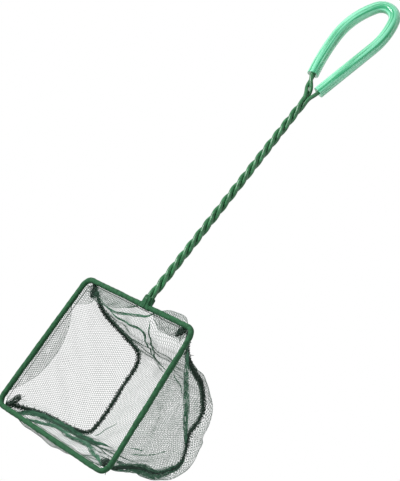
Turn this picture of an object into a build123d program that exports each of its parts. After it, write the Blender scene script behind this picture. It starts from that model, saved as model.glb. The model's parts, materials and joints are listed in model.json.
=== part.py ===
from build123d import *
import os
from math import ceil, cos, pi, radians, sin, sqrt

# A hand net for aquariums. One coated steel wire makes the mouth hoop, the three strands of the twisted
# shank and the hanging loop. A vinyl sleeve covers the loop, and a sewn bag of netting hangs from the hoop.
# The frame: Z points up along the net, X runs across the mouth, the bag reaches towards +Y, and the origin
# is the middle of the loop's crown, where a peg or hook holds the net. Millimetres and degrees.

# Mouth hoop, along the middle of the wire
mouth_width_top = 125.0
mouth_width_bottom = 135.0
mouth_height = 106.0
mouth_corner_radius = 7.0
neck_offset = 8.2
neck_bend_radius = 3.5
neck_rise = 4.0

# Coated wire
core_diameter = 2.0
coat_diameter = 2.8
coat_fit = 0.04
strand_gap = 0.1

# Twisted shank: a left-hand lay that leans back towards the bag side
lay_length = 30.0
shank_length = 178.0
handle_lean = 5.1

# Hanging loop, in its own plane: across, and up along the handle, from the middle of the crown
crown_radius = 10.2
crown_start_angle = 13.5
crown_end_angle = 142.0
split_across = -7.3
split_below = 81.0
right_shoulder_across = 9.7
right_shoulder_below = 23.1
right_leg_length = 49.6
left_belly_across = -19.0
left_belly_below = 26.1
left_foot_across = -14.9
left_foot_below = 60.7
tail_in_sleeve = 10.0
pair_in_sleeve = 12.0
wire_centred_after = 26.0

# Vinyl sleeve over the loop
sleeve_diameter = 8.4
sleeve_bore = 6.3

# Hem rolled over the hoop, and the cloth gathered at the neck
hem_diameter = 3.8
hem_fit = 0.06
gather_height = 7.0
gather_foot_depth = 5.6
gather_top_diameter = 8.0
gather_fit = 0.15

# Netting bag, by the outside of its walls
bag_gap = 0.3
bag_depth = 63.0
bag_bottom_width = 97.0
bag_bottom_height = 58.0
bag_droop = 3.0
bag_corner_radius = 8.0
netting_thickness = 0.8

# Openings in the walls, a plain grid that stands for the fine mesh
mesh_columns = 10
mesh_rows = 5
mesh_margin = 9.0
mesh_open_share = 0.8

# Sewing
seam_diameter = 2.6
tack_diameter = 3.8
tack_start = 4.6
tack_length = 5.5
stitch_diameter = 0.7
stitch_depth = 3.8
stitch_gap = 0.1

# Where each strand stands round the foot of the shank: the hoop's two ends behind, the loose end in front
strand_starts = {"left_strand": 150, "right_strand": 30, "return_strand": 270}

core_radius = core_diameter / 2
coat_radius = coat_diameter / 2
hem_radius = hem_diameter / 2

# The three strands lie in a triangle, each a coat's width and a small gap from the others
strand_spacing = coat_diameter + strand_gap
lay_radius = strand_spacing / sqrt(3)
pair_radius = strand_spacing / 2
lay_rate = -2 * pi / lay_length
lay_ramp = lay_length / 4
shank_twist = lay_rate * (shank_length - lay_ramp)
loop_turn = radians(strand_starts["return_strand"]) + shank_twist

# Directions of the handle: up along it, across the mouth, and across the loop's own plane
up = Vector(0, 0, 1)
across = Vector(1, 0, 0)
along = Vector(0, sin(radians(handle_lean)), cos(radians(handle_lean)))
loop_across = across * cos(loop_turn) + along.cross(across) * sin(loop_turn)
loop_front = along.cross(loop_across)


def on_loop(right, below):
    """A point of the loop's plane, from the middle of the crown."""
    return loop_across * right - along * below


def knot(centre, axis, side, angle, radius, rate):
    """A point of a wound strand and its direction there: an angle round the axis, and turns per length."""
    front = axis.cross(side)
    outward = side * cos(angle) + front * sin(angle)
    around = front * cos(angle) - side * sin(angle)
    return centre + outward * radius, (axis + around * (radius * rate)).normalized()


split_point = on_loop(split_across, split_below)
shank_foot = split_point - along * shank_length

# The ends of the hoop stand under the two back strands
left_strand_foot = knot(shank_foot, along, across, radians(strand_starts["left_strand"]), lay_radius, 0)[0]
mouth_centre = Vector(
    shank_foot.X - neck_offset,
    left_strand_foot.Y,
    left_strand_foot.Z - neck_rise - mouth_height / 2,
)
mouth = Plane(origin=mouth_centre, x_dir=(1, 0, 0), z_dir=(0, -1, 0))


def biarcs(knots):
    """Arcs through the knots, two between each pair, that keep each knot's direction."""
    for (start, leaving), (end, arriving) in zip(knots, knots[1:]):
        chord = end - start
        slope = 2 * chord.dot(leaving + arriving)
        bend = 8 * (1 - leaving.dot(arriving)) * chord.dot(chord)
        reach = 2 * chord.dot(chord) / (slope + sqrt(slope**2 + bend))
        first = start + leaving * reach
        last = end - arriving * reach
        middle = (first + last) / 2
        TangentArc(start, middle, tangent=leaving)
        TangentArc(middle, end, tangent=last - first)


def shank_knots(start_angle):
    """A strand of the shank: upright at its foot, one left-hand lay all the way, in line at its top."""
    start = radians(start_angle)
    wound = shank_length - 2 * lay_ramp
    steps = ceil(wound / (lay_length / 4))
    knots = [(knot(shank_foot, along, across, start, lay_radius, 0)[0], up)]
    for i in range(steps + 1):
        height = lay_ramp + wound * i / steps
        angle = start + lay_rate * (height - lay_ramp / 2)
        knots.append(knot(shank_foot + along * height, along, across, angle, lay_radius, lay_rate))
    knots.append(knot(split_point, along, across, start + shank_twist, lay_radius, 0))
    return knots


def tube(path, outer_radius, bore_radius=0.0):
    """A round solid along a path, hollow if it has a bore."""
    with BuildPart() as run:
        with BuildSketch(Plane(origin=path @ 0, z_dir=path % 0)):
            Circle(outer_radius)
            if bore_radius:
                Circle(bore_radius, mode=Mode.SUBTRACT)
        sweep(path=path)
    return run.part


def save(solid, name):
    """Names a finished piece and writes it."""
    solid.label = name
    export_step(solid, f"parts/{name}.step")


def save_coated_wire(path, name):
    """The steel core of a run of wire, and the vinyl coat round it."""
    save(tube(path, core_radius), f"{name}_core")
    save(tube(path, coat_radius, core_radius + coat_fit), f"{name}_coat")


os.makedirs("parts", exist_ok=True)

# The hoop runs from the neck's left end round the mouth to its right end
neck_left = neck_offset - pair_radius
neck_right = neck_offset + pair_radius
top = mouth_height / 2
with BuildLine(mouth) as hoop:
    FilletPolyline(
        (neck_left, top + neck_rise),
        (neck_left, top),
        (-mouth_width_top / 2, top),
        (-mouth_width_bottom / 2, -top),
        (mouth_width_bottom / 2, -top),
        (mouth_width_top / 2, top),
        (neck_right, top),
        (neck_right, top + neck_rise),
        radius=[neck_bend_radius] + [mouth_corner_radius] * 4 + [neck_bend_radius],
    )
hoop_path = hoop.wires()[0]
save_coated_wire(hoop_path, "hoop")

# The strands of the shank: the hoop's two ends, and the end that comes back down from the loop
for name, start_angle in strand_starts.items():
    with BuildLine() as strand:
        biarcs(shank_knots(start_angle))
    save_coated_wire(strand.wires()[0], name)

# The loop's outline: a crown between two shoulders, a straight right leg and a bowed left leg
with BuildLine(mode=Mode.PRIVATE) as outline:
    crown_points = [
        loop_across * (crown_radius * cos(radians(angle))) + along * (crown_radius * sin(radians(angle)))
        for angle in (
            crown_start_angle,
            (crown_start_angle + crown_end_angle) / 2,
            crown_end_angle,
        )
    ]
    crown = ThreePointArc(*crown_points)
    right_shoulder = TangentArc(
        crown @ 0, on_loop(right_shoulder_across, right_shoulder_below), tangent=(crown % 0) * -1
    )
    right_leg = Line(right_shoulder @ 1, right_shoulder @ 1 + (right_shoulder % 1) * right_leg_length)
    left_shoulder = TangentArc(crown @ 1, on_loop(left_belly_across, left_belly_below), tangent=crown % 1)
    left_leg = TangentArc(
        left_shoulder @ 1, on_loop(left_foot_across, left_foot_below), tangent=left_shoulder % 1
    )
save(tube(outline.wires()[0], sleeve_diameter / 2, sleeve_bore / 2), "grip_sleeve")

# Above the split the left and right strands make a pair, which takes half a turn before the sleeve
with BuildLine(mode=Mode.PRIVATE) as pair:
    pair_foot = split_point - loop_across * (lay_radius / 2)
    biarcs([(pair_foot, along), (left_leg @ 1, (left_leg % 1) * -1)])
pair_axis = pair.wires()[0]


def pair_knot(centre, axis, angle, rate=0.0, radius=pair_radius):
    """A knot of the pair, its angle counted from the loop's plane."""
    return knot(centre, axis, loop_front.cross(axis), angle, radius, rate)


def left_leg_place(distance):
    """A point of the left leg, that far up from its foot, and the direction up the leg."""
    at = 1 - distance / left_leg.length
    return left_leg @ at, (left_leg % at) * -1


def pair_knots(start):
    """A strand of the pair, from the split to the sleeve's left end: the turn starts and ends gently."""
    knots = [pair_knot(pair_foot, along, start)]
    for at in (0.25, 0.5, 0.75):
        turned = pi * (3 * at**2 - 2 * at**3)
        rate = -6 * pi * at * (1 - at) / pair_axis.length
        wound_radius = pair_radius * sqrt(1 + (pair_radius * rate) ** 2)
        knots.append(pair_knot(pair_axis @ at, pair_axis % at, start - turned, rate, wound_radius))
    knots.append(pair_knot(*left_leg_place(0), start - pi))
    return knots


# The left strand's tail ends inside the sleeve
with BuildLine() as tail:
    biarcs(pair_knots(-pi / 2) + [pair_knot(*left_leg_place(tail_in_sleeve), pi / 2)])
save_coated_wire(tail.wires()[0], "tail")

# The right strand goes on round the loop, and down the right leg to the top of the return strand
with BuildLine() as loop:
    biarcs(
        pair_knots(pi / 2)
        + [
            pair_knot(*left_leg_place(pair_in_sleeve), -pi / 2),
            pair_knot(*left_leg_place(wire_centred_after), 0, radius=0),
            (left_leg @ 0, (left_leg % 0) * -1),
        ]
    )
    add([left_shoulder, crown, right_shoulder, right_leg])
    biarcs([(right_leg @ 1, right_leg % 1), (split_point + loop_across * lay_radius, along * -1)])
save_coated_wire(loop.wires()[0], "loop")

# The hem is a rolled sleeve of netting on each side of the hoop
sides = hoop_path.order_edges()
hem_runs = {
    "hem_top_left": sides[2:4],
    "hem_left": sides[4:5],
    "hem_lower": sides[5:8],
    "hem_right": sides[8:9],
    "hem_top_right": sides[9:11],
}
for name, run in hem_runs.items():
    save(tube(Wire(run), hem_radius, coat_radius + hem_fit), name)

# At the neck the hem's cloth is drawn up round the wires, between the ends of the two top runs
gather_foot_width = 2 * (pair_radius + neck_bend_radius - gather_fit)
gather_foot = Vector(shank_foot.X, mouth_centre.Y, mouth_centre.Z + top - hem_radius)
gather_top = shank_foot + along * (gather_height - neck_rise)
shank_line = Line(shank_foot - along * (neck_rise / 2), gather_top + along * gather_height)
hoop_room = tube(hoop_path, coat_radius + gather_fit)
shank_room = tube(shank_line, lay_radius + coat_radius + 2 * gather_fit)
with BuildPart() as neck_gather:
    with BuildSketch(Plane(gather_foot)):
        RectangleRounded(gather_foot_width, gather_foot_depth, gather_foot_depth / 3)
    with BuildSketch(Plane(gather_top, x_dir=across, z_dir=along)):
        Circle(gather_top_diameter / 2)
    loft()
    add(hoop_room, mode=Mode.SUBTRACT)
    add(shank_room, mode=Mode.SUBTRACT)
save(neck_gather.part, "neck_gather")

# Walls of the bag: each is flat, from the hem to the smaller bottom
flare = (mouth_width_bottom - mouth_width_top) / (2 * mouth_height)
rim_inset = hem_radius + bag_gap
rim_side = (mouth_width_top + mouth_width_bottom) / 4 - rim_inset * sqrt(1 + flare**2)
bottom_side = bag_bottom_width / 2 - flare * bag_droop
rim_top = top - rim_inset
bottom_top = bag_bottom_height / 2 - bag_droop
bottom_low = -bag_bottom_height / 2 - bag_droop
side_slope = (rim_side - bottom_side) / bag_depth
top_slope = (rim_top - bottom_top) / bag_depth
low_slope = (rim_top + bottom_low) / bag_depth


def wall_places(depth, inset=0.0):
    """Half the bag's width at mid height, its top and its low edge, that deep and that far inside the walls."""
    side = rim_side - side_slope * depth - inset * sqrt(1 + side_slope**2 + flare**2)
    upper = rim_top - top_slope * depth - inset * sqrt(1 + top_slope**2)
    lower = low_slope * depth - rim_top + inset * sqrt(1 + low_slope**2)
    return side, upper, lower


def bag_outline(depth, inset=0.0):
    """The corners of the bag's section, in the mouth's plane."""
    side, upper, lower = wall_places(depth, inset)
    return [
        (-side + flare * upper, upper),
        (-side + flare * lower, lower),
        (side - flare * lower, lower),
        (side - flare * upper, upper),
    ]


def bag_block(depth, inset):
    """The bag's outside, or with an inset its hollow, as a solid block with rounded corners."""
    with BuildPart() as block:
        for place in (0, depth):
            with BuildSketch(mouth.offset(-place)):
                Polygon(*bag_outline(place, inset), align=None)
        loft(ruled=True)
        rim = block.faces().sort_by(Axis.Y)[0]
        fillet(block.edges() - rim.edges(), radius=bag_corner_radius - inset)
    return block.part


def mesh_row(wall, depth):
    """The two ends of a row of openings: a wall's corners at that depth, each a margin in from the edge."""
    corners = bag_outline(depth, netting_thickness / 2)
    first, last = (
        mouth_centre + Vector(corners[corner][0], depth, corners[corner][1]) for corner in wall
    )
    margin = (last - first).normalized() * mesh_margin
    return first + margin, last - margin


def mesh_openings(near_row, far_row):
    """Blocks that open a flat wall between two rows: each is a cell of the grid, shrunk about its middle."""
    out = (near_row[1] - near_row[0]).cross(far_row[0] - near_row[0]).normalized() * netting_thickness
    blocks = []
    for column in range(mesh_columns):
        for row in range(mesh_rows):
            cell = []
            for i, j in ((0, 0), (1, 0), (1, 1), (0, 1)):
                along_row, down = (column + i) / mesh_columns, (row + j) / mesh_rows
                near = near_row[0] * (1 - along_row) + near_row[1] * along_row
                far = far_row[0] * (1 - along_row) + far_row[1] * along_row
                cell.append(near * (1 - down) + far * down)
            middle = (cell[0] + cell[1] + cell[2] + cell[3]) / 4
            opening = [middle + (corner - middle) * mesh_open_share - out for corner in cell]
            blocks.append(Solid.extrude(Face(Wire.make_polygon(opening)), out * 2))
    return blocks


# Each wall lies between two corners of the bag's section. The back lies between two rows at the bottom
left_top, left_low, right_low, right_top = range(4)
openings = []
for wall in ((left_top, right_top), (left_low, right_low), (left_top, left_low), (right_top, right_low)):
    openings += mesh_openings(mesh_row(wall, mesh_margin), mesh_row(wall, bag_depth - mesh_margin))
back_depth = bag_depth - netting_thickness / 2
back_left, back_right = mesh_row((left_top, left_low), back_depth), mesh_row((right_top, right_low), back_depth)
back_margin = across * mesh_margin
openings += mesh_openings(
    (back_left[0] + back_margin, back_right[0] - back_margin),
    (back_left[1] + back_margin, back_right[1] - back_margin),
)
with BuildPart() as bag:
    add(bag_block(bag_depth, 0))
    add(bag_block(bag_depth - netting_thickness, netting_thickness), mode=Mode.SUBTRACT)
    add(openings, mode=Mode.SUBTRACT)

# The seams run down the middle of the bag's rounded corners
seam_inset = bag_corner_radius * (1 - cos(pi / 4))
seam_corner_radius = bag_corner_radius * cos(pi / 4)
seam_start = tack_start + tack_length
seam_depth = bag_depth - seam_inset


def seam_place(hand, depth, upper):
    """A point of a seam: hand is -1 on the left and 1 on the right, on the upper or the lower leg."""
    left_top, left_low, right_low, right_top = bag_outline(depth, seam_inset)
    if hand < 0:
        place = left_top if upper else left_low
    else:
        place = right_top if upper else right_low
    return mouth_centre + Vector(place[0], depth, place[1])


sewing = {}
for side, hand in (("left", -1), ("right", 1)):
    with BuildLine() as seam:
        FilletPolyline(
            seam_place(hand, seam_start, True),
            seam_place(hand, seam_depth, True),
            seam_place(hand, seam_depth, False),
            seam_place(hand, seam_start, False),
            radius=seam_corner_radius,
        )
    sewing[f"{side}_seam"] = tube(seam.wires()[0], seam_diameter / 2)
    for place, upper in (("upper", True), ("lower", False)):
        tack_line = Line(seam_place(hand, tack_start, upper), seam_place(hand, seam_start, upper))
        sewing[f"{place}_{side}_tack"] = tube(tack_line, tack_diameter / 2)
for name, solid in sewing.items():
    save(solid, name)


def seam_cut(hand):
    """The plane of a side's seam, facing out of the bag."""
    upper_start = seam_place(hand, seam_start, True)
    upper_end = seam_place(hand, seam_depth, True)
    return Plane(upper_start, x_dir=upper_end - upper_start, z_dir=Vector(hand, side_slope, flare))


def netting(left_side, right_side):
    """A cut of the bag's netting: the sides of the two seams to keep, less the room the thread takes."""
    with BuildPart() as cloth:
        add(bag.part)
        split(bisect_by=seam_cut(-1), keep=left_side)
        split(bisect_by=seam_cut(1), keep=right_side)
        add(list(sewing.values()), mode=Mode.SUBTRACT)
    return cloth.solids().sort_by(SortBy.VOLUME)[-1]


# The left and right panels, and the gusset strip between them
save(netting(Keep.TOP, Keep.BOTTOM), "left_panel")
save(netting(Keep.BOTTOM, Keep.TOP), "right_panel")
save(netting(Keep.BOTTOM, Keep.BOTTOM), "gusset")

# A line of stitches closes the hem, inside the bag's mouth
stitch_radius = stitch_diameter / 2
stitch_inset = netting_thickness + stitch_gap + stitch_radius
with BuildLine(mouth.offset(-stitch_depth)) as stitch_line:
    FilletPolyline(
        *bag_outline(stitch_depth, stitch_inset),
        radius=bag_corner_radius - stitch_inset,
        close=True,
    )
save(tube(stitch_line.wires()[0], stitch_radius), "mouth_stitch")
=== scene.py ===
import json
from math import pi

import bpy
import numpy as np
from mathutils import Matrix


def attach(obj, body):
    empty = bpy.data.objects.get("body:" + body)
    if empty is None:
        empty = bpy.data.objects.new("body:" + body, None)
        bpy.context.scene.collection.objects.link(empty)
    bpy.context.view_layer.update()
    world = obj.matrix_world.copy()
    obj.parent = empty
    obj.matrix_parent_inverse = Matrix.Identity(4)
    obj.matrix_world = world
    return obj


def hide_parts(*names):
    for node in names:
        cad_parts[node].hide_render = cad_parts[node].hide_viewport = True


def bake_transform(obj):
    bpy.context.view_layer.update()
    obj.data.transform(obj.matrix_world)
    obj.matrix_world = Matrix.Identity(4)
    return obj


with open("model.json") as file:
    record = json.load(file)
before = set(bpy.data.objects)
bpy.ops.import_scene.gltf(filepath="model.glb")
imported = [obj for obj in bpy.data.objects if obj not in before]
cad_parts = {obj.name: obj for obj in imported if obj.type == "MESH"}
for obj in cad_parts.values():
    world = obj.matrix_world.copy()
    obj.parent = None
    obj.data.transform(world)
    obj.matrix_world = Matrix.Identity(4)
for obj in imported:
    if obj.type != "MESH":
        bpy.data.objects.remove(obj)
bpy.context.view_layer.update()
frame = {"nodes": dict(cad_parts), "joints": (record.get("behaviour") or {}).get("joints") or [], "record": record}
record = frame["record"]

# Coated wire. One length of drawn steel wire in a smooth green vinyl coat makes the hoop, the three twisted
# strands of the shank and the loop. The coat shines a little and its green is mottled a little.


def shade(red, green, blue):
    """A colour written in 0 to 255 display steps, as the light it gives back."""
    steps = np.array([red, green, blue]) / 255
    linear = np.where(steps < 0.04045, steps / 12.92, ((steps + 0.055) / 1.055) ** 2.4)
    return (*linear, 1.0)


def blank_finish(name):
    """A new material, its node tree and its shader."""
    material = bpy.data.materials.new(name)
    material.use_nodes = True
    nodes = material.node_tree.nodes
    return material, nodes, material.node_tree.links, nodes["Principled BSDF"]


def ramp(nodes, low, high, dark, light):
    """A ramp from one colour to another, over part of its input's range."""
    made = nodes.new("ShaderNodeValToRGB")
    made.color_ramp.elements[0].position = low
    made.color_ramp.elements[0].color = dark
    made.color_ramp.elements[1].position = high
    made.color_ramp.elements[1].color = light
    return made


def mottled(name, dark, light, grain_per_m, relief_m, roughness):
    """Two shades mixed by a noise of that grain, which also raises the surface by the relief."""
    material, nodes, links, shader = blank_finish(name)
    place = nodes.new("ShaderNodeTexCoord")
    noise = nodes.new("ShaderNodeTexNoise")
    noise.inputs["Scale"].default_value = grain_per_m
    noise.inputs["Detail"].default_value = 4.0
    links.new(place.outputs["Object"], noise.inputs["Vector"])
    tint = ramp(nodes, 0.32, 0.68, dark, light)
    links.new(noise.outputs["Fac"], tint.inputs["Fac"])
    links.new(tint.outputs["Color"], shader.inputs["Base Color"])
    relief = nodes.new("ShaderNodeBump")
    relief.inputs["Distance"].default_value = relief_m
    links.new(noise.outputs["Fac"], relief.inputs["Height"])
    links.new(relief.outputs["Normal"], shader.inputs["Normal"])
    shader.inputs["Roughness"].default_value = roughness
    return material


green_vinyl = mottled("green_vinyl", shade(20, 78, 42), shade(52, 124, 76), 420.0, 0.00006, 0.3)
green_vinyl.node_tree.nodes["Principled BSDF"].inputs["Specular IOR Level"].default_value = 0.45
drawn_steel = mottled("drawn_steel", shade(120, 122, 124), shade(176, 178, 180), 900.0, 0.00003, 0.32)
drawn_steel.node_tree.nodes["Principled BSDF"].inputs["Metallic"].default_value = 1.0
wire_runs = ("hoop", "left_strand", "right_strand", "return_strand", "loop", "tail")
for run in wire_runs:
    frame["nodes"][f"{run}_coat"].material_slots[0].material = green_vinyl
    frame["nodes"][f"{run}_core"].material_slots[0].material = drawn_steel

# Grip sleeve. A length of soft clear vinyl tube with a mint tint, pushed over the loop before the end of the
# wire is wound in. Lines run along it, partly from its drawing and partly painted highlights, and the wire shows
# through it.
handle_lean = np.radians(5.1)
crown_radius = 10.2
crown_angles = np.radians([13.5, 142.0])
right_shoulder_end = (9.7, -23.1)
right_leg_length = 49.6
left_belly = (-19.0, -26.1)
left_foot = (-14.9, -60.7)
sleeve_radius = 4.2
bore_radius = 3.15
sleeve_end_bulge = 0.2
# Dark and light streak colours of the vinyl; the light streaks are painted highlights
sleeve_mint_and_highlight = [shade(62, 184, 130), shade(152, 250, 208)]
bore_mint_and_highlight = [shade(52, 178, 118), shade(104, 226, 168)]
sleeve_alpha = 0.66
bore_alpha = 0.16


def skin(name, points, squares):
    """A smooth mesh of four-sided faces."""
    mesh = bpy.data.meshes.new(name)
    mesh.vertices.add(len(points))
    mesh.vertices.foreach_set("co", np.ascontiguousarray(points, np.float32).ravel())
    mesh.loops.add(squares.size)
    mesh.loops.foreach_set("vertex_index", squares.astype(np.int32).ravel())
    mesh.polygons.add(len(squares))
    mesh.polygons.foreach_set("loop_start", np.arange(0, squares.size, 4, dtype=np.int32))
    mesh.polygons.foreach_set("use_smooth", np.ones(len(squares), bool))
    mesh.update(calc_edges=True)
    piece = bpy.data.objects.new(name, mesh)
    bpy.context.scene.collection.objects.link(piece)
    return piece


def surface(name, grid, around=False, cloth=None):
    """A mesh on a grid of points, one face to each square. Rows go along the piece, columns go across it, or
    round it until the last meets the first. cloth gives each point's place on the flat cloth."""
    rows, columns = grid.shape[:2]
    index = np.arange(rows * columns).reshape(rows, columns)
    if around:
        index = np.concatenate([index, index[:, :1]], axis=1)
    squares = np.stack([index[:-1, :-1], index[:-1, 1:], index[1:, 1:], index[1:, :-1]], axis=-1)
    piece = skin(name, grid.reshape(-1, 3), squares.reshape(-1, 4))
    if cloth is not None:
        places = np.stack([cloth[:-1, :-1], cloth[:-1, 1:], cloth[1:, 1:], cloth[1:, :-1]], axis=2)
        layer = piece.data.uv_layers.new(name="cloth")
        layer.data.foreach_set("uv", places.astype(np.float32).ravel())
    return piece


def tangent_arc(start, heading, end, count=40):
    """Points of the arc that leaves a point in a given direction and reaches another, in a plane. Its
    radius is the chord squared over twice the chord's share beside the direction. Gives the direction at
    its end too."""
    start, heading, end = (np.array(value, float) for value in (start, heading, end))
    heading /= np.linalg.norm(heading)
    beside = np.array([-heading[1], heading[0]])
    chord = end - start
    radius = chord @ chord / (2 * chord @ beside)
    sweep = 2 * np.arctan2(chord @ beside, chord @ heading)
    turn = np.linspace(0, sweep, count)[:, None]
    points = start + radius * (np.sin(turn) * heading + (1 - np.cos(turn)) * beside)
    return points, np.cos(sweep) * heading + np.sin(sweep) * beside


crown_turn = np.linspace(*crown_angles, 60)
crown = crown_radius * np.stack([np.cos(crown_turn), np.sin(crown_turn)], axis=-1)
right_way = (np.sin(crown_turn[0]), -np.cos(crown_turn[0]))
right_shoulder, right_heading = tangent_arc(crown[0], right_way, right_shoulder_end)
left_way = (-np.sin(crown_turn[-1]), np.cos(crown_turn[-1]))
left_shoulder, left_heading = tangent_arc(crown[-1], left_way, left_belly)
left_leg, _ = tangent_arc(left_belly, left_heading, left_foot, 80)
right_leg = right_shoulder[-1] + right_heading * np.linspace(right_leg_length, 0, 80)[:, None]
sleeve_flat = np.concatenate([right_leg[:-1], right_shoulder[:0:-1], crown, left_shoulder[1:], left_leg[1:]])

# The loop's plane: across it and up along the handle, from the middle of the crown
loop_front = np.array(record["mounts"][0]["axis"])
loop_up = np.array([0.0, np.sin(handle_lean), np.cos(handle_lean)])
loop_across = np.cross(loop_front, loop_up)
sleeve_heading = np.gradient(sleeve_flat, axis=0)
sleeve_heading /= np.linalg.norm(sleeve_heading, axis=1)[:, None]
sleeve_side = np.stack([sleeve_heading[:, 1], -sleeve_heading[:, 0]], axis=1)
sleeve_line = sleeve_flat[:, :1] * loop_across + sleeve_flat[:, 1:] * loop_up
side_way = (sleeve_side[:, :1] * loop_across + sleeve_side[:, 1:] * loop_up)[:, None]
sleeve_turns = np.linspace(0, 2 * pi, 49)[None, :, None]
sleeve_run = np.cumsum(np.r_[0, np.linalg.norm(np.diff(sleeve_flat, axis=0), axis=1)])


def sleeve_wall(radius):
    """Rings of points at a radius from the sleeve's middle line, and their places along and round it."""
    spokes = np.cos(sleeve_turns) * side_way + np.sin(sleeve_turns) * loop_front
    rings = sleeve_line[:, None] + radius * spokes
    places = np.stack(np.broadcast_arrays(sleeve_run[:, None], radius * sleeve_turns[..., 0]), axis=-1)
    return rings, places


def clear_vinyl(name, dark, light, alpha):
    """Clear tinted vinyl: streaks run along the tube, from a noise that is stretched along its length. The
    streaks are partly lines from the tube's drawing and partly painted highlights.
    """
    material, nodes, links, shader = blank_finish(name)
    place = nodes.new("ShaderNodeUVMap")
    place.uv_map = "cloth"
    stretch = nodes.new("ShaderNodeMapping")
    stretch.inputs["Scale"].default_value = (0.02, 0.55, 1.0)
    links.new(place.outputs["UV"], stretch.inputs["Vector"])
    streaks_and_highlights = nodes.new("ShaderNodeTexNoise")
    streaks_and_highlights.inputs["Scale"].default_value = 1.0
    streaks_and_highlights.inputs["Detail"].default_value = 2.0
    links.new(stretch.outputs["Vector"], streaks_and_highlights.inputs["Vector"])
    # The light end of this ramp paints highlights along the tube
    tint = ramp(nodes, 0.42, 0.58, dark, light)
    links.new(streaks_and_highlights.outputs["Fac"], tint.inputs["Fac"])
    links.new(tint.outputs["Color"], shader.inputs["Base Color"])
    shader.inputs["Alpha"].default_value = alpha
    shader.inputs["Roughness"].default_value = 0.14
    shader.inputs["Specular IOR Level"].default_value = 0.45
    return material


outer_rings, outer_places = sleeve_wall(sleeve_radius)
inner_rings, inner_places = sleeve_wall(bore_radius)
middle_rings, middle_places = sleeve_wall((sleeve_radius + bore_radius) / 2)
sleeve_ways = (sleeve_heading[:, :1] * loop_across + sleeve_heading[:, 1:] * loop_up)[:, None]
sleeve_ends = sleeve_ways * sleeve_end_bulge
wall_rings = np.concatenate(
    [
        outer_rings,
        middle_rings[-1:] + sleeve_ends[-1],
        inner_rings[::-1],
        middle_rings[:1] - sleeve_ends[0],
        outer_rings[:1],
    ]
)[:, :-1]
wall_places = np.concatenate(
    [outer_places, middle_places[-1:], inner_places[::-1], middle_places[:1], outer_places[:1]]
)
sleeve = surface("grip_sleeve_tube", wall_rings * 0.001, around=True, cloth=wall_places)
sleeve.data.materials.append(clear_vinyl("mint_vinyl", *sleeve_mint_and_highlight, sleeve_alpha))
sleeve.data.materials.append(clear_vinyl("mint_vinyl_bore", *bore_mint_and_highlight, bore_alpha))
# The faces of the bore follow the faces of the outside
bore_first = len(sleeve_line) * (len(sleeve_turns[0]) - 1)
bore_faces = np.zeros(len(sleeve.data.polygons), np.int32)
bore_faces[bore_first : 2 * bore_first] = 1
sleeve.data.polygons.foreach_set("material_index", bore_faces)
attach(sleeve, "frame")
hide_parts("grip_sleeve")

# Hem. The edge of the netting is rolled over the hoop several times and sewn down, so it is a close green
# roll with shallow creases along it and a ridge on the bag's side, where the cloth leaves it.
mouth = np.array(frame["joints"][0]["pos_m"])
mouth_top = 51.0
mouth_bottom = -55.0
mouth_corners = [(-65.2, mouth_top), (-70.2, mouth_bottom), (64.8, mouth_bottom), (59.8, mouth_top)]
mouth_corner_radius = 7.0
hem_radius = 1.85
crease_height = 0.11
ridge_height = 0.35
ridge_change = 0.12
ridge_turn = 0.9
ridge_spread = 0.3
hem_green = [shade(15, 47, 29), shade(48, 102, 66)]
mesh_pitch = 1.5


def in_frame(points):
    """Points from millimetres about the bag's hinge in the mouth (across, into the bag, up) to the net's
    frame."""
    return mouth + np.asarray(points) * 0.001


def spaced(line, step):
    """A line of points, moved to equal steps along it, and each new point's distance from the start."""
    run = np.concatenate([[0], np.cumsum(np.linalg.norm(np.diff(line, axis=0), axis=1))])
    at = np.linspace(0, run[-1], max(2, int(round(run[-1] / step)) + 1))
    return np.stack([np.interp(at, run, line[:, i]) for i in range(line.shape[1])], axis=-1), at


def rounded(corners, radius):
    """A line through corners, each cut off by an arc of that radius. The arc's ends lie radius times the
    tangent of half the turn from the corner, and it is the mean of its ends and the corner, by weights."""
    corners = np.array(corners, float)
    line = [corners[:1]]
    bend = np.linspace(0, 1, 9)[:, None]
    for before, corner, after in zip(corners, corners[1:], corners[2:]):
        arriving = (corner - before) / np.linalg.norm(corner - before)
        leaving = (after - corner) / np.linalg.norm(after - corner)
        half_turn = np.arccos(np.clip(arriving @ leaving, -1, 1)) / 2
        reach = radius * np.tan(half_turn)
        first, last = corner - arriving * reach, corner + leaving * reach
        pull = 2 * np.cos(half_turn) * bend * (1 - bend)
        weights = (1 - bend) ** 2 + pull + bend**2
        line.append((first * (1 - bend) ** 2 + corner * pull + last * bend**2) / weights)
    line.append(corners[-1:])
    return np.concatenate(line)


def waves(across, along, seed, count, shortest, longest):
    """A sum of sine waves of many directions and lengths, about -1 to 1, the same on each run."""
    draw = np.random.default_rng(seed)
    total = np.zeros(np.broadcast(across, along).shape)
    for length, turn, phase in zip(
        np.geomspace(shortest, longest, count), draw.uniform(0, 2 * pi, count), draw.uniform(0, 2 * pi, count)
    ):
        step = 2 * pi / length
        total += np.sin(step * (across * np.cos(turn) + along * np.sin(turn)) + phase)
    return total / np.sqrt(count)


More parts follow.
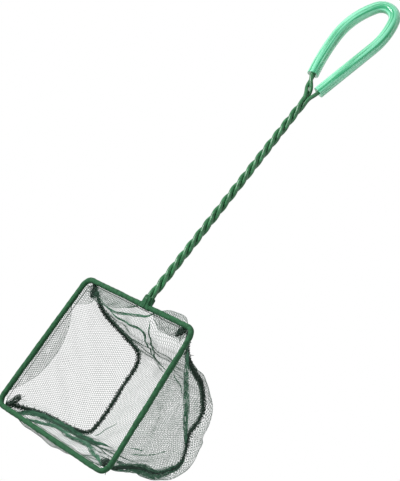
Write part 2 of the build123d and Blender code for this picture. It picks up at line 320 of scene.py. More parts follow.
def knitted(name, dark, light, pitch_mm, roughness):
    """Close layers of netting: two slanted sets of yarns cross on the flat cloth, and the gaps between them
    are lower and darkened with painted shade. A slow noise varies the green at random."""
    material, nodes, links, shader = blank_finish(name)
    place = nodes.new("ShaderNodeUVMap")
    place.uv_map = "cloth"
    yarn_sets = []
    for slant in (pi / 3, -pi / 3):
        turn = nodes.new("ShaderNodeMapping")
        turn.inputs["Rotation"].default_value = (0, 0, slant)
        links.new(place.outputs["UV"], turn.inputs["Vector"])
        bands = nodes.new("ShaderNodeTexWave")
        bands.inputs["Scale"].default_value = 1 / (pitch_mm * pi)
        bands.inputs["Distortion"].default_value = 0.6
        links.new(turn.outputs["Vector"], bands.inputs["Vector"])
        yarn_sets.append(bands)
    yarns = nodes.new("ShaderNodeMath")
    yarns.operation = "MAXIMUM"
    for socket, bands in zip(yarns.inputs, yarn_sets):
        links.new(bands.outputs["Fac"], socket)
    slow = nodes.new("ShaderNodeTexNoise")
    slow.inputs["Scale"].default_value = 0.35
    slow.inputs["Detail"].default_value = 3.0
    links.new(place.outputs["UV"], slow.inputs["Vector"])
    both = nodes.new("ShaderNodeMath")
    both.operation = "MULTIPLY_ADD"
    both.inputs[1].default_value = 0.45
    links.new(yarns.outputs["Value"], both.inputs[0])
    links.new(slow.outputs["Fac"], both.inputs[2])
    # The gaps between the yarns take the dark end: painted shade in the recesses
    tint = ramp(nodes, 0.45, 1.05, dark, light)
    links.new(both.outputs["Value"], tint.inputs["Fac"])
    links.new(tint.outputs["Color"], shader.inputs["Base Color"])
    relief = nodes.new("ShaderNodeBump")
    relief.inputs["Distance"].default_value = 0.00015
    links.new(yarns.outputs["Value"], relief.inputs["Height"])
    links.new(relief.outputs["Normal"], shader.inputs["Normal"])
    shader.inputs["Roughness"].default_value = roughness
    shader.inputs["Specular IOR Level"].default_value = 0.15
    return material


rolled_netting = knitted("rolled_netting", *hem_green, mesh_pitch / 2, 0.55)
neck_across = 5.5
neck_gap = 4.96
neck_ends = [(neck_across - neck_gap, mouth_top), (neck_across + neck_gap, mouth_top)]
hem_line = rounded([neck_ends[0], *mouth_corners, neck_ends[1]], mouth_corner_radius)
hem_points, hem_run = spaced(hem_line, 0.45)
hem_heading = np.gradient(hem_points, axis=0)
hem_heading /= np.linalg.norm(hem_heading, axis=1)[:, None]
# Inward is to the left of the way round, which goes from the neck by the left side
hem_inward = np.stack([-hem_heading[:, 1], hem_heading[:, 0]], axis=1)
hem_turns = np.linspace(0, 2 * pi, 25)
around = hem_turns[None, :]
run = hem_run[:, None]
creases = waves(run, around * 2.5, 3, 5, 5.0, 26.0)
ridge = np.exp(-(((around - ridge_turn) / ridge_spread) ** 2))
ridge_swell = ridge_height + ridge_change * waves(run, 0 * run, 5, 4, 9.0, 40.0)
hem_swell = hem_radius + crease_height * creases + ridge_swell * ridge
hem_swell[:, -1] = hem_swell[:, 0]
hem_grid = np.stack(
    [
        hem_points[:, :1] + hem_swell * np.cos(around) * hem_inward[:, :1],
        hem_swell * np.sin(around) + 0 * run,
        hem_points[:, 1:] + hem_swell * np.cos(around) * hem_inward[:, 1:],
    ],
    axis=-1,
)
hem_cloth = np.stack([run + 0 * around, hem_radius * around + 0 * run], axis=-1)
corner_runs = [
    hem_run[np.argmin(np.linalg.norm(hem_points - np.array(corner), axis=1))] for corner in mouth_corners
]
# The hem is cut where the hoop's sides start and end, half a corner's arc from its middle
half_corner = mouth_corner_radius * pi / 4
hem_ends = {
    "hem_top_left": (0.0, corner_runs[0] + half_corner),
    "hem_left": (corner_runs[0] + half_corner, corner_runs[1] - half_corner),
    "hem_lower": (corner_runs[1] - half_corner, corner_runs[2] + half_corner),
    "hem_right": (corner_runs[2] + half_corner, corner_runs[3] - half_corner),
    "hem_top_right": (corner_runs[3] - half_corner, hem_run[-1]),
}
for node, (start, end) in hem_ends.items():
    first, last = np.searchsorted(hem_run, [start, end])
    # The rings are taken backwards, so that the faces point outwards
    rings = hem_grid[first : last + 1, :-1][::-1]
    ring_cloth = hem_cloth[first : last + 1][::-1]
    piece = surface(f"{node}_roll", in_frame(rings), around=True, cloth=ring_cloth)
    piece.data.materials.append(rolled_netting)
    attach(piece, "frame")
    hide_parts(node)

# Neck gather. Where the wires leave the hoop, the hem's cloth is drawn up round them in small pleats, like
# the neck of a sack, and its edge is turned in against the strands.
gather_start = mouth_top - 2.0
gather_rise = 9.2
gather_lip = 0.5
gather_rows = np.linspace(0, 1, 30)[:, None]
gather_turns = np.linspace(0, 2 * pi, 73)
turn = gather_turns[None, :]
pleats = 0.32 * np.sin(9 * turn + 2.2 * gather_rows) + 0.2 * np.sin(14 * turn - 3 * gather_rows + 1)
gather_half_width = 5.6 - 2.1 * gather_rows**0.8
gather_half_depth = 2.5 + 0.9 * gather_rows**0.6
lip = np.clip((gather_rows - 0.9) / 0.1, 0, 1)
gather_grid = np.stack(
    [
        neck_across + (gather_half_width + pleats - gather_lip * lip) * np.cos(turn),
        -0.6 * gather_rows + (gather_half_depth + pleats - gather_lip * lip) * np.sin(turn),
        gather_start + gather_rise * gather_rows + 0.35 * np.sin(3 * turn + 0.8) * gather_rows - 0.4 * lip,
    ],
    axis=-1,
)
gather_cloth = np.stack([3.6 * turn + 0 * gather_rows, 9.0 * gather_rows + 0 * turn], axis=-1)
gather = surface("neck_gather_cloth", in_frame(gather_grid[:, :-1]), around=True, cloth=gather_cloth)
gather.data.materials.append(rolled_netting)
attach(gather, "frame")
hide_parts("neck_gather")


def smooth_line(points, steps=24):
    """A smooth line through points: between each two, a cubic whose slope at a point is half the step
    between its neighbours."""
    points = np.array(points, float)
    before, after = 2 * points[0] - points[1], 2 * points[-1] - points[-2]
    padded = np.concatenate([[before], points, [after]])
    t = np.linspace(0, 1, steps, endpoint=False)[None, :, None]
    p0, p1, p2, p3 = (padded[i : len(padded) - 3 + i, None, :] for i in range(4))
    line = 0.5 * (
        2 * p1 + (p2 - p0) * t + (2 * p0 - 5 * p1 + 4 * p2 - p3) * t**2 + (3 * p1 - 3 * p2 + p3 - p0) * t**3
    )
    return np.concatenate([line.reshape(-1, points.shape[1]), points[-1:]])


def along_line(line, share):
    """The points at shares, 0 to 1, of a line's length."""
    run = np.concatenate([[0], np.cumsum(np.linalg.norm(np.diff(line, axis=0), axis=1))])
    return np.stack([np.interp(share * run[-1], run, line[:, i]) for i in range(3)], axis=-1)


def seam_legs(points, upper_corner, lower_corner, steps=24):
    """A seam's smooth line, cut at its two corners into an upper leg, a back leg and a lower leg."""
    line = smooth_line(points, steps)
    first, second = upper_corner * steps, lower_corner * steps
    return line[: first + 1], line[first : second + 1], line[second:]


# Each seam from the hem's upper corner, along the upper leg, down the back and along the lower leg
left_seam_points = [
    (-57.6, 1.0, 50.2),
    (-53.2, 12.0, 40.6),
    (-51.9, 23.0, 36.6),
    (-49.7, 34.8, 34.5),
    (-47.6, 46.2, 32.4),
    (-45.2, 59.5, 29.0),
    (-44.8, 64.4, 20.0),
    (-45.7, 65.3, 4.1),
    (-46.3, 66.8, -12.0),
    (-47.4, 67.0, -28.5),
    (-48.6, 64.5, -37.2),
    (-51.4, 51.9, -41.2),
    (-56.4, 27.9, -44.2),
    (-62.6, 1.0, -52.4),
]
right_seam_points = [
    (54.6, 1.0, 48.4),
    (54.1, 13.1, 35.4),
    (51.1, 29.3, 30.5),
    (49.5, 38.0, 28.7),
    (47.8, 47.5, 23.4),
    (46.5, 57.2, 14.6),
    (46.9, 58.2, 6.4),
    (47.7, 57.0, -2.6),
    (47.4, 62.5, -12.2),
    (47.4, 65.0, -20.5),
    (48.8, 60.0, -28.0),
    (52.2, 46.3, -36.3),
    (56.4, 26.5, -40.4),
    (61.2, 1.0, -51.4),
]
left_legs = seam_legs(left_seam_points, 5, 10)
right_legs = seam_legs(right_seam_points, 5, 10)


def netting(name, place, half_width, length, start=0.0, yarn_width=0.118):
    """A knitted net on a cut of cloth. Yarns run along the cut in zigzags: each lies beside one neighbour
    for a cell's side, slants over, and lies beside the other. place gives the point of the bag for a place
    on the flat cut, and half_width the cut's half width along it. Each yarn is a tube of four sides."""
    side = mesh_pitch / np.sqrt(3)
    widest = half_width(np.linspace(start, length, 200)).max()
    yarn = np.arange(-int(2 * widest / mesh_pitch) - 2, int(2 * widest / mesh_pitch) + 3)[:, None]
    knot = np.arange(int((length - start) / (0.75 * side)) + 2)[None, :]
    low_row = (knot // 2) % 2 == 0
    leans_right = np.where(yarn % 2 == 0, 1.0, -1.0)
    beside = np.where(low_row, leans_right, -leans_right) * yarn_width / 2
    across = np.where(low_row, np.ceil(yarn / 2), np.floor(yarn / 2) + 0.5) * mesh_pitch + beside
    along = start + 1.5 * side * (knot // 2) + side * (knot % 2) + 0 * across
    inside = (np.abs(across) <= half_width(along)) & (along <= length)
    half = half_width(along)
    across = np.clip(across, -half, half)
    along = np.minimum(along, length)
    step = 0.05
    centre = place(across, along)
    to_right = (place(across + step, along) - place(across - step, along)) / (2 * step)
    to_end = (place(across, along + step) - place(across, along - step)) / (2 * step)
    normal = np.cross(to_right, to_end)
    normal /= np.maximum(np.linalg.norm(normal, axis=-1), 1e-9)[..., None]
    turns_away = np.where(low_row == (knot % 2 == 1), -leans_right, leans_right) / np.sqrt(3)
    width = to_right + to_end * turns_away[..., None]
    tube_corners = ((1, 1), (-1, 1), (-1, -1), (1, -1))
    rings = np.stack(
        [centre + (right * width + out * normal) * yarn_width / 2 for right, out in tube_corners], axis=2
    )
    index = np.arange(rings[..., 0].size).reshape(rings.shape[:3])
    kept = inside[:, :-1] & inside[:, 1:]
    turned = np.roll(index, -1, axis=2)
    squares = np.stack([index[:, :-1], index[:, 1:], turned[:, 1:], turned[:, :-1]], axis=-1)
    used, squares = np.unique(squares[kept].reshape(-1, 4), return_inverse=True)
    return skin(name, in_frame(rings.reshape(-1, 3)[used]), squares.reshape(-1, 4))


def hang(piece, slot, *nodes):
    """The bag's piece is baked where it stands, and the nodes it stands for are hidden."""
    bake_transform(piece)
    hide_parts(*nodes)


net_yarn = mottled("net_yarn", shade(34, 66, 50), shade(54, 96, 74), 260.0, 0.00001, 0.6)

# Side panels. Two cuts of netting close the sides of the bag, widest at the hem. Each hangs between the side
# of the hoop and a seam, and puffs out a little.
panel_wave_height = 0.8


def panel_cut(length, half_widths):
    """A side panel's half width, which narrows evenly from the hem to the back."""

    def half_width(along):
        """The half width at a distance from the hem."""
        return np.interp(along, [0, length], half_widths)

    return half_width


def panel_place(legs, hem_ends, length, half_width, hand, puff, seed):
    """The place of a side panel's flat cut on the bag, with an outward puff and slow waves. hem_ends are the
    lower and upper ends of the hem's straight side."""
    upper, back, lower = legs
    lower = lower[::-1]
    hem_side = np.array([lower[0], *hem_ends, upper[0]])

    def place(across, along):
        """The sum of the straight-line blends of the two pairs of opposite edges, less the blend of the four
        corners, plus the puff and the waves, which are held still at the edges."""
        inward = np.clip(along / length, 0, 1)
        upward = np.clip(0.5 + across / (2 * half_width(along)), 0, 1)
        to_back, to_upper = inward[..., None], upward[..., None]
        edges = (
            (1 - to_back) * along_line(hem_side, upward)
            + to_back * along_line(back[::-1], upward)
            + (1 - to_upper) * along_line(lower, inward)
            + to_upper * along_line(upper, inward)
        )
        at_hem = (1 - to_upper) * lower[0] + to_upper * upper[0]
        at_back = (1 - to_upper) * lower[-1] + to_upper * upper[-1]
        corners = (1 - to_back) * at_hem + to_back * at_back
        hold = np.minimum(1, 5 * upward * (1 - upward)) * np.minimum(1, 5 * inward * (1 - inward))
        out = hold * (puff + panel_wave_height * waves(across, along, seed, 7, 13.0, 45.0))
        return edges - corners + out[..., None] * np.array([hand, 0.15, 0.0])

    return place


panel_places = {}
for side, legs, hem_side_ends, length, half_widths, hand, puff, seed in (
    ("left", left_legs, [(-68.5, 1.0, -47.0), (-64.2, 1.0, 44.0)], 68.0, (54.0, 30.0), -1, 1.5, 11),
    ("right", right_legs, [(63.1, 1.0, -47.0), (58.8, 1.0, 44.0)], 62.0, (50.0, 30.0), 1, 1.0, 12),
):
    half_width = panel_cut(length, half_widths)
    panel_places[side] = panel_place(legs, hem_side_ends, length, half_width, hand, puff, seed)
    piece = netting(f"{side}_panel_net", panel_places[side], half_width, length)
    piece.data.materials.append(net_yarn)
    hang(piece, "bag_netting", f"{side}_panel")

# Gusset. One long strip of netting runs from the hem's top, down the back and along the low wall to the hem
# again. Between the seams it sags, and it puffs out beside the right seam and over the hem.
wall_lengths = (62.0, 66.0, 67.0)
wall_ends = np.concatenate([[0], np.cumsum(wall_lengths)])
gusset_length = wall_ends[-1]
gusset_half_widths = (56.0, 46.0, 49.0, 62.0)


def gusset_half_width(along):
    """The gusset's half width, from its values at the hem's top, the back's two edges and the hem's lower
    side."""
    return np.interp(along, wall_ends, gusset_half_widths)


def on_seam(legs, along):
    """The point of a seam beside a place along the gusset."""
    wall = np.clip(np.searchsorted(wall_ends, along, side="right") - 1, 0, 2)
    share = (along - wall_ends[wall]) / np.array(wall_lengths)[wall]
    points = [along_line(leg, np.clip(share, 0, 1)) for leg in legs]
    return np.where((wall == 0)[..., None], points[0], np.where((wall == 1)[..., None], points[1], points[2]))


middle_line = np.mean(
    [on_seam(legs, np.linspace(0, gusset_length, 300)) for legs in (left_legs, right_legs)], axis=0
)
middle_heading = np.gradient(middle_line, axis=0)
for _ in range(25):
    middle_heading[1:-1] = (middle_heading[:-2] + middle_heading[1:-1] + middle_heading[2:]) / 3
middle_heading /= np.linalg.norm(middle_heading, axis=1)[:, None]
middle_out = np.stack([0 * middle_heading[:, 0], -middle_heading[:, 2], middle_heading[:, 1]], axis=-1)
# Heights of the sag and the puff at places along the strip, and of the netting's bulges past the hem
sag_at = [0, 30, 62, 95, 128, 160, gusset_length]
sag_heights = [0, -2.0, 2.0, 6.0, 3.0, 2.0, 0]
puff_at = [0, 12, 55, 90, 128, 160, 185, gusset_length]
puff_heights = [0, 4, 9, 14, 9, 5, 3, 0]
puff_reach = 0.09
over_hem_height = 13.5
under_hem_height = 7.0
gusset_wrinkle_height = 0.9


def gusset_place(across, along):
    """The place of the gusset's flat cut on the bag: straight lines join the two seams, and the sag, the
    wrinkles, the puff beside the right seam and the bulges past the hem are added to them."""
    along = np.clip(along, 0, gusset_length)
    to_right = np.clip(0.5 + across / (2 * gusset_half_width(along)), 0, 1)
    right_part = to_right[..., None]
    straight = (1 - right_part) * on_seam(left_legs, along) + right_part * on_seam(right_legs, along)
    out = np.stack(
        [np.interp(along, np.linspace(0, gusset_length, 300), middle_out[:, i]) for i in range(3)], axis=-1
    )
    hem_hold = np.clip(along / 8, 0, 1) * np.clip((gusset_length - along) / 8, 0, 1)
    sag = np.interp(along, sag_at, sag_heights) * 4 * to_right * (1 - to_right)
    beside = (1 - to_right) / puff_reach
    puff = np.interp(along, puff_at, puff_heights) * beside * np.exp(1 - beside)
    over_share = -(((along - 8) / 6) ** 2) - ((to_right - 0.77) / 0.15) ** 4
    over_hem = over_hem_height * np.exp(over_share)
    under_share = -(((along - gusset_length + 7) / 6.5) ** 2) - ((to_right - 0.38) / 0.36) ** 4
    under_hem = under_hem_height * np.exp(under_share)
    between = np.minimum(1, 6 * to_right * (1 - to_right))
    to_top_hem = 1.8 * to_right * np.clip(1 - along / 12, 0, 1)
    to_lower_hem = 2.6 * np.clip((along - gusset_length) / 12 + 1, 0, 1)
    to_hem = between * (to_top_hem - to_lower_hem)
    wrinkles = gusset_wrinkle_height * waves(across, along, 21, 8, 11.0, 48.0) * hem_hold * between
    height = sag + wrinkles
    sideways = out * 0.66 + np.array([0.72, 0.0, 0.0])
    beyond_hem = (over_hem - under_hem + to_hem)[..., None] * np.array([0.0, 0.0, 1.0])
    return straight + height[..., None] * out + puff[..., None] * sideways + beyond_hem


for wall, start, length, held_by in (
    ("top", wall_ends[0], wall_ends[1], ["hem_top_left_roll", "hem_top_right_roll"]),
    ("back", wall_ends[1], wall_ends[2], ["left_panel_net", "right_panel_net"]),
    ("low", wall_ends[2], wall_ends[3], ["hem_lower_roll"]),
):
    piece = netting(f"gusset_{wall}_net", gusset_place, gusset_half_width, length, start)
    piece.data.materials.append(net_yarn)
    ends = gusset_half_width(np.array([start, length]))
    hang(piece, "bag_netting", "gusset")

# Flaps. The turned-in edge of the netting hangs loose inside the hem, where it wasn't caught by the stitches.
# The loose edge is a little thicker and shows as a line.
flap_yarn_width = 0.165
flap_edge_radius = 0.14
flap_ripple_height = 0.5


def thread(line, outward, radius, sides=5):
    """A round thread along a line of points: rings of points turn from outward towards the line's side."""
    heading = np.gradient(line, axis=0)
    heading /= np.linalg.norm(heading, axis=1)[:, None]
    beside = np.cross(heading, outward)
    beside /= np.linalg.norm(beside, axis=1)[:, None]
    square = np.cross(beside, heading)
    turn = np.linspace(0, 2 * pi, sides, endpoint=False)[None, :, None]
    reach = np.broadcast_to(radius, len(line))[:, None, None]
    return line[:, None] + reach * (np.cos(turn) * square[:, None] + np.sin(turn) * beside[:, None])


def joined(name, grids):
    """Several tubes, each a grid of rings, as one mesh."""
    points, squares, count = [], [], 0
    for grid in grids:
        rows, sides = grid.shape[:2]
        index = np.arange(rows * sides).reshape(rows, sides) + count
        turned = np.roll(index, -1, axis=1)
        squares.append(np.stack([index[:-1], turned[:-1], turned[1:], index[1:]], axis=-1).reshape(-1, 4))
        points.append(grid.reshape(-1, 3))
        count += rows * sides
    return skin(name, in_frame(np.concatenate(points)), np.concatenate(squares))


def flap_net(name, node, reach, half_lengths, place):
    """A small loose cut of netting that hangs from a side of the hem and narrows to its tip."""

    def half_length(along):
        """The flap's half length at a distance from the hem, by a curve that is blunt at the tip."""
        share = np.sqrt(np.clip(1 - along / reach, 0, 1))
        return half_lengths[1] + (half_lengths[0] - half_lengths[1]) * share

    piece = netting(name, place, half_length, reach, yarn_width=flap_yarn_width)
    piece.data.materials.append(net_yarn)
    hang(piece, "bag_netting", node)
    way_round = np.linspace(-1, 1, 120)
    edge_along = reach * (1 - way_round**2)
    edge = place(np.sign(way_round) * half_length(edge_along), edge_along)
    edge_out = np.broadcast_to(np.array([0.7, 0.7, 0.0]), edge.shape)
    edging = joined(f"{name}_edge", [thread(edge, edge_out, flap_edge_radius)])
    edging.data.materials.append(net_yarn)
    hang(edging, "bag_netting", node)


def left_flap_place(across, along):
    """The left side's flap leans into the bag, over the left panel."""
    side_height = mouth_top - mouth_bottom
    down_side = 0.55 - across / side_height
    ripple = flap_ripple_height * waves(across, along, 41, 5, 9.0, 30.0) * np.clip(along / 5, 0, 1)
    rightward = 1.6 - 65.2 - 5 * down_side + 0.32 * along + ripple
    return np.stack([rightward, 1.2 + 0.92 * along, mouth_top - side_height * down_side], axis=-1)


def corner_flap_place(across, along):
    """A short flap in the upper left corner, between the hem and the start of the seam."""
    ripple = 0.3 * waves(across, along, 42, 4, 7.0, 20.0) * np.clip(along / 5, 0, 1)
    rightward = -63.8 + 0.45 * along + ripple
    return np.stack([rightward, 1.2 + 0.85 * along, 40.0 + across + 0.25 * along], axis=-1)


def top_flap_place(across, along):
    """The top side's flap hangs down into the mouth, longest near the upper left corner."""
    ripple = flap_ripple_height * waves(across, along, 43, 5, 9.0, 30.0) * np.clip(along / 5, 0, 1)
    rightward = -26.5 - 1.6 * along + across
    return np.stack([rightward, 1.4 + 0.3 * along + ripple, mouth_top - 1.4 - 0.95 * along], axis=-1)


def neck_flap_place(across, along):
    """A flap to the right of the neck that leans into the bag, under the top wall."""
    ripple = flap_ripple_height * waves(across, along, 44, 5, 9.0, 30.0) * np.clip(along / 5, 0, 1)
    rightward = 32.0 - 0.2 * along + across
    return np.stack([rightward, 1.4 + 0.8 * along, mouth_top - 1.4 - 0.6 * along + ripple], axis=-1)


# Each flap's reach from the hem, and its half lengths at the hem and at its tip
flap_net("left_flap_net", "left_panel", 12.0, (36.0, 4.0), left_flap_place)
flap_net("corner_flap_net", "left_panel", 10.5, (9.5, 3.0), corner_flap_place)
flap_net("top_flap_net", "gusset", 10.5, (26.0, 4.0), top_flap_place)
flap_net("neck_flap_net", "gusset", 12.5, (19.0, 10.0), neck_flap_place)

# Seams. The raw edges of two cuts are rolled together and overlocked with dark thread: wraps cross both ways
# round the edge, with loops that stand out unevenly.
seam_thread = mottled("seam_thread", shade(12, 30, 22), shade(34, 66, 50), 1500.0, 0.00004, 0.7)


def smooth_draw(seed, count, knots):
    """Random numbers from -1 to 1 that change slowly along a run of points."""
    values = np.random.default_rng(seed).uniform(-1, 1, knots)
    return np.interp(np.linspace(0, knots - 1, count), np.arange(knots), values)


def wound(line, hand, radius, pitch, phase, seed, thickness, swells):
    """A thread wound round a line: its angle grows with the distance, and its distance from the line wanders
    and swells by the given shares of the radius, spaced evenly along the line."""
    points, run = spaced(line, abs(pitch) / 12)
    heading = np.gradient(points, axis=0)
    heading /= np.linalg.norm(heading, axis=1)[:, None]
    side = np.cross(heading, np.cross(np.array([1.0, 0.0, 0.0]), heading))
    side /= np.linalg.norm(side, axis=1)[:, None]
    front = np.cross(heading, side)
    count = len(points)
    angle = hand * 2 * pi * run / pitch + phase + 0.9 * smooth_draw(seed, count, count // 9)
    swell = np.interp(run / run[-1], np.linspace(0, 1, len(swells)), swells)
    reach = radius * swell * (1 + 0.32 * smooth_draw(seed + 1, count, count // 7))
    out = np.cos(angle)[:, None] * side + np.sin(angle)[:, None] * front
    return thread(points + reach[:, None] * out, out, thickness)


for side, legs, seed, swells in (
    ("left", left_legs, 31, (1.0, 1.0)),
    ("right", right_legs, 51, (1.0, 1.0, 1.0, 0.9, 0.5, 0.5, 0.6)),
):
    line = np.concatenate([legs[0], legs[1][1:], legs[2][1:]])
    core, _ = spaced(line, 0.6)
    core_side = np.broadcast_to(np.array([1.0, 0.0, 0.0]), core.shape)
    core_reach = 0.75 + 0.2 * smooth_draw(seed + 9, len(core), len(core) // 3)
    grids = [thread(core, core_side, core_reach, 8)]
    # Each winding's hand, radius, pitch, phase and step in the seed
    for hand, radius, pitch, phase, seed_step in (
        (1, 1.25, 1.3, 0, 0),
        (-1, 1.4, 1.5, 2, 2),
        (1, 1.75, 2.3, 4, 4),
        (-1, 1.95, 3.1, 1, 6),
    ):
        grids.append(wound(line, hand, radius, pitch, phase, seed + seed_step, 0.2, swells))
    draw = np.random.default_rng(seed + 20)
    for share in draw.uniform(0.05, 0.95, 16):
        way = draw.normal(size=3)
        way *= draw.uniform(2.0, 4.5) / np.linalg.norm(way)
        curl = draw.normal(size=3) * 1.2
        t = np.linspace(0, 1, 9)[:, None]
        points = along_line(line, np.array([share])) + way * t + curl * t**2
        grids.append(thread(points, np.broadcast_to(np.cross(way, curl), points.shape), 0.15))
    piece = joined(f"{side}_seam_thread", grids)
    piece.data.materials.append(seam_thread)
    hang(piece, "seam_thread", f"{side}_seam")

# Gathers. Where the netting is bunched, its yarns lie close together and show as soft green lines: folds that
# fan out over the top wall, a long pleat in the right panel, bands along the low wall and a few creases.
gathered_yarn = mottled("gathered_yarn", shade(44, 92, 68), shade(84, 140, 110), 300.0, 0.00001, 0.6)
gathered_yarn_radius = 0.12


def gathered(name, place, flat_points, width, yarns, rise, seed):
    """Netting bunched along a smooth line on a flat cut: yarns lie side by side over the width, sway and
    cross a little, stand off the wall by up to the rise either way, and come together at both ends."""
    flat = smooth_line(flat_points)
    line, run = spaced(place(flat[:, 0], flat[:, 1]), 0.9)
    heading = np.gradient(line, axis=0)
    heading /= np.linalg.norm(heading, axis=1)[:, None]
    ahead = place(flat[:, 0] + 0.5, flat[:, 1]) - place(flat[:, 0] - 0.5, flat[:, 1])
    down = place(flat[:, 0], flat[:, 1] + 0.5) - place(flat[:, 0], flat[:, 1] - 0.5)
    normal = np.cross(ahead, down).mean(axis=0)
    out = np.broadcast_to(normal / np.linalg.norm(normal), line.shape)
    beside = np.cross(heading, out)
    share = run / run[-1]
    taper = (4 * share * (1 - share)) ** 0.5
    knots = max(3, len(line) // 7)
    grids = []
    for yarn in range(yarns):
        lane = (2 * yarn + 1) / yarns - 1 + 0.4 * smooth_draw(seed + yarn, len(line), knots)
        lift = rise * smooth_draw(seed + yarns + yarn, len(line), knots)
        path = line + (lane * width / 2 * taper)[:, None] * beside + (lift * taper)[:, None] * out
        grids.append(thread(path, out, gathered_yarn_radius, 4))
    piece = joined(name, grids)
    piece.data.materials.append(gathered_yarn)
    return piece


# Each gather's points on the flat cut, across and along, then its width, its yarns and its rise
back_start, low_start = wall_ends[1], wall_ends[2]
right_place = panel_places["right"]
top_line = [(-51, 10), (-44, 13.5), (-31, 13.3), (-2, 6.7), (14, 4.2)]
top_fan = [(-44, 13.7), (-25, 17), (-4, 15.4), (1, 20.4), (-8, 36), (-12.6, 46)]
top_fork = [(10, 8), (8, 16), (6, 23), (-3, 36), (-10, 48), (-3, 57)]
top_crease = [(-19, 6.7), (-10, 4), (-2, 1)]
back_crease = [(-42, back_start + 65), (-39.4, back_start + 58), (-34, back_start + 50)]
seam_band = [
    (-57, low_start + 62),
    (-51, low_start + 48),
    (-43, low_start + 34),
    (-32, low_start + 18),
    (-20, low_start + 2),
]
hem_band = [
    (-57, low_start + 60),
    (-40, low_start + 55),
    (-12, low_start + 46),
    (18, low_start + 48),
    (50, low_start + 61),
]
right_pleat = [(42, 8), (37, 16), (25, 29), (13, 41), (5, 51.6), (-2, 60)]
right_band = [
    (48, back_start + 48),
    (49, low_start),
    (53, low_start + 24),
    (58, low_start + 50),
    (60, low_start + 62),
]
lower_crease = [(-34, 12), (-27, 30), (-18, 39)]
upper_crease = [(24, 7), (25, 21), (20, 28)]
short_crease = [(-31, 8), (-29, 14), (-28, 19)]
for number, (node, place, points, width, yarns, rise) in enumerate(
    (
        ("gusset", gusset_place, top_line, 1.8, 14, 0.3),
        ("gusset", gusset_place, top_fan, 2.2, 17, 0.3),
        ("gusset", gusset_place, top_fork, 1.8, 14, 0.3),
        ("gusset", gusset_place, top_crease, 0.7, 5, 0.3),
        ("gusset", gusset_place, back_crease, 0.6, 4, 0.3),
        ("gusset", gusset_place, seam_band, 8.0, 64, 1.7),
        ("gusset", gusset_place, hem_band, 3.4, 32, 1.2),
        ("right_panel", right_place, right_pleat, 5.6, 34, 0.3),
        ("gusset", gusset_place, right_band, 6.4, 60, 0.8),
        ("right_panel", right_place, lower_crease, 0.8, 5, 0.3),
        ("right_panel", right_place, upper_crease, 0.8, 5, 0.3),
        ("right_panel", right_place, short_crease, 0.6, 4, 0.3),
    )
):
    seed = 300 + 60 * number
    piece = gathered(f"gather_{number + 1}", place, np.array(points, float), width, yarns, rise, seed)
    hang(piece, "bag_netting", node)

# Corner tacks. Where a seam runs into the hem, its thread ends are bunched in a tangle, with a few loose
# tails. Each has its middle, the direction it is drawn out in and its tails.
tack_strands = 4
tack_strand_radius = 0.16
tack_tail_radius = 0.17
for place, side, heart, heading, tails in (
    ("upper", "left", (-55.4, 3.0, 45.5), (3.0, 1.5, -6.5), 9),
    ("lower", "left", (-58.4, 2.4, -47.6), (2.0, 1.0, 5.0), 6),
    ("upper", "right", (47.6, 2.2, 47.2), (-5.0, 1.0, -5.0), 6),
    ("lower", "right", (57.6, 2.0, -48.4), (6.0, 0.3, 0.8), 6),
):
    seed = 70 + len(place) * 7 + len(side)
    draw = np.random.default_rng(seed)
    heart = np.array(heart)
    heading = np.array(heading) / np.linalg.norm(heading)
    grids = []
    for strand in range(tack_strands):
        count = 150
        t = np.linspace(0, 1, count)
        yaw = 2 * pi * (4 + strand) * t + draw.uniform(0, 6)
        pitch = 2 * pi * (3.3 + 0.7 * strand) * t + draw.uniform(0, 6)
        out = np.stack([np.cos(yaw) * np.cos(pitch), np.sin(yaw) * np.cos(pitch), np.sin(pitch)], axis=-1)
        reach = 1.7 + 1.1 * smooth_draw(seed + strand, count, 30)
        stretched = out + heading * (out @ heading)[:, None] * 1.4
        grids.append(thread(heart + reach[:, None] * stretched, out, tack_strand_radius))
    for _ in range(tails):
        t = np.linspace(0, 1, 14)[:, None]
        way = draw.normal(size=3)
        way /= np.linalg.norm(way)
        droop = draw.normal(size=3) * 1.6
        points = heart + heading * draw.uniform(-2, 3) + way * (1.0 + 4.4 * t) + droop * t**2
        tail_out = np.broadcast_to(np.cross(way, heading), points.shape)
        grids.append(thread(points, tail_out, tack_tail_radius))
    piece = joined(f"{place}_{side}_tack_thread", grids)
    piece.data.materials.append(seam_thread)
    hang(piece, "seam_thread", f"{place}_{side}_tack")

# Mouth stitch. A line of lock stitches all round the mouth closes the hem, a little way into the bag.
stitch_inset = 2.4
stitch_depth = 3.0
stitch_length = 2.4
stitch_corner_radius = 5.0
stitch_corners = np.array(mouth_corners)
stitch_corners = stitch_corners - np.sign(stitch_corners) * stitch_inset
halfway = (stitch_corners[:1] + stitch_corners[-1:]) / 2
stitch_way = rounded(np.concatenate([halfway, stitch_corners, halfway]), stitch_corner_radius)
stitch_flat, stitch_run = spaced(stitch_way, 0.25)
beat = stitch_run / stitch_length
stitch_line = np.stack(
    [
        stitch_flat[:, 0],
        stitch_depth + 0.25 * waves(stitch_run, 0 * stitch_run, 8, 5, 12.0, 60.0),
        stitch_flat[:, 1],
    ],
    axis=-1,
)
stitch_radius = 0.15 + 0.1 * np.abs(np.sin(pi * beat)) ** 0.6
stitch_out = np.broadcast_to(np.array([0.0, 1.0, 0.0]), stitch_line.shape)
stitch = joined("mouth_stitch_thread", [thread(stitch_line, stitch_out, stitch_radius, 6)])
stitch.data.materials.append(seam_thread)
hang(stitch, "seam_thread", "mouth_stitch")

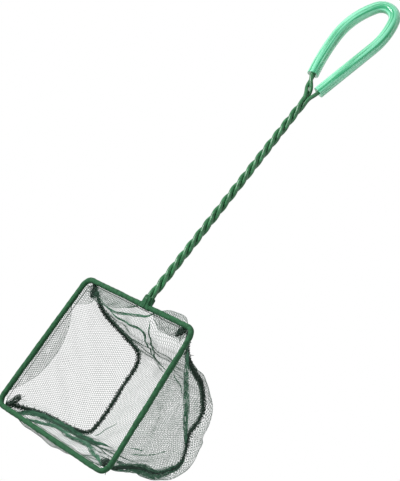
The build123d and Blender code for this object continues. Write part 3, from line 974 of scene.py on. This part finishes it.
# Studio. A pale floor well under the hanging net, soft lamps and a white surround, and the camera to one side
# of the mouth, a little under it and leaning over, so that the handle rises to the right.
floor_drop = 0.75
floor_half = 1.5
surround_light = 0.35
camera_place = (723.4, -580.6, -55.3)
picture_height = 481
focal_length_in_pixels = 1400
floor_grid = np.array(
    [[[x, y, -floor_drop] for x in (-floor_half, floor_half)] for y in (-floor_half, floor_half)], float
)
floor = surface("floor", floor_grid)
pale_floor = mottled("pale_floor", shade(238, 238, 238), shade(246, 246, 246), 3.0, 0.0, 0.9)
floor.data.materials.append(pale_floor)

world = bpy.data.worlds.new("white_surround")
bpy.context.scene.world = world
world.use_nodes = True
nodes, links = world.node_tree.nodes, world.node_tree.links
path = nodes.new("ShaderNodeLightPath")
seen = nodes.new("ShaderNodeMath")
seen.operation = "MAXIMUM"
links.new(path.outputs["Is Camera Ray"], seen.inputs[0])
links.new(path.outputs["Is Glossy Ray"], seen.inputs[1])
seen_through = nodes.new("ShaderNodeMath")
seen_through.operation = "MAXIMUM"
links.new(seen.outputs["Value"], seen_through.inputs[0])
links.new(path.outputs["Is Transmission Ray"], seen_through.inputs[1])
strength = nodes.new("ShaderNodeMapRange")
strength.inputs["To Min"].default_value = surround_light
strength.inputs["To Max"].default_value = 1.0
links.new(seen_through.outputs["Value"], strength.inputs["Value"])
links.new(strength.outputs["Result"], nodes["Background"].inputs["Strength"])
nodes["Background"].inputs["Color"].default_value = (1.0, 1.0, 1.0, 1.0)

camera_right = np.array([0.601, 0.580, 0.550])
camera_up = np.array([-0.242, -0.524, 0.817])
camera_back = np.array([0.762, -0.624, -0.174])
for name, way, distance, size, power in (
    ("key", camera_back * 0.45 + camera_up * 0.9 - camera_right * 0.7, 0.9, 0.35, 10.0),
    ("fill", camera_back * 0.9 - camera_up * 0.2 + camera_right * 0.7, 1.0, 0.7, 1.6),
):
    lamp = bpy.data.lights.new(name, "AREA")
    lamp.size = size
    lamp.energy = power
    stand = bpy.data.objects.new(name, lamp)
    back = way / np.linalg.norm(way)
    right = np.cross((0, 0, 1), back)
    right /= np.linalg.norm(right)
    turn = np.eye(4)
    turn[:3, 0], turn[:3, 1], turn[:3, 2] = right, np.cross(back, right), back
    turn[:3, 3] = mouth * 0.6 + back * distance
    stand.matrix_world = Matrix(turn.tolist())
    bpy.context.scene.collection.objects.link(stand)

lens = bpy.data.cameras.new("camera")
lens.sensor_width = 36.0
lens.lens = lens.sensor_width * focal_length_in_pixels / picture_height
camera = bpy.data.objects.new("camera", lens)
stand = np.eye(4)
stand[:3, 0], stand[:3, 1], stand[:3, 2] = camera_right, camera_up, camera_back
stand[:3, 3] = in_frame(camera_place)
camera.matrix_world = Matrix(stand.tolist())
bpy.context.scene.collection.objects.link(camera)
bpy.context.scene.camera = camera
bpy.context.scene.view_settings.view_transform = "Standard"
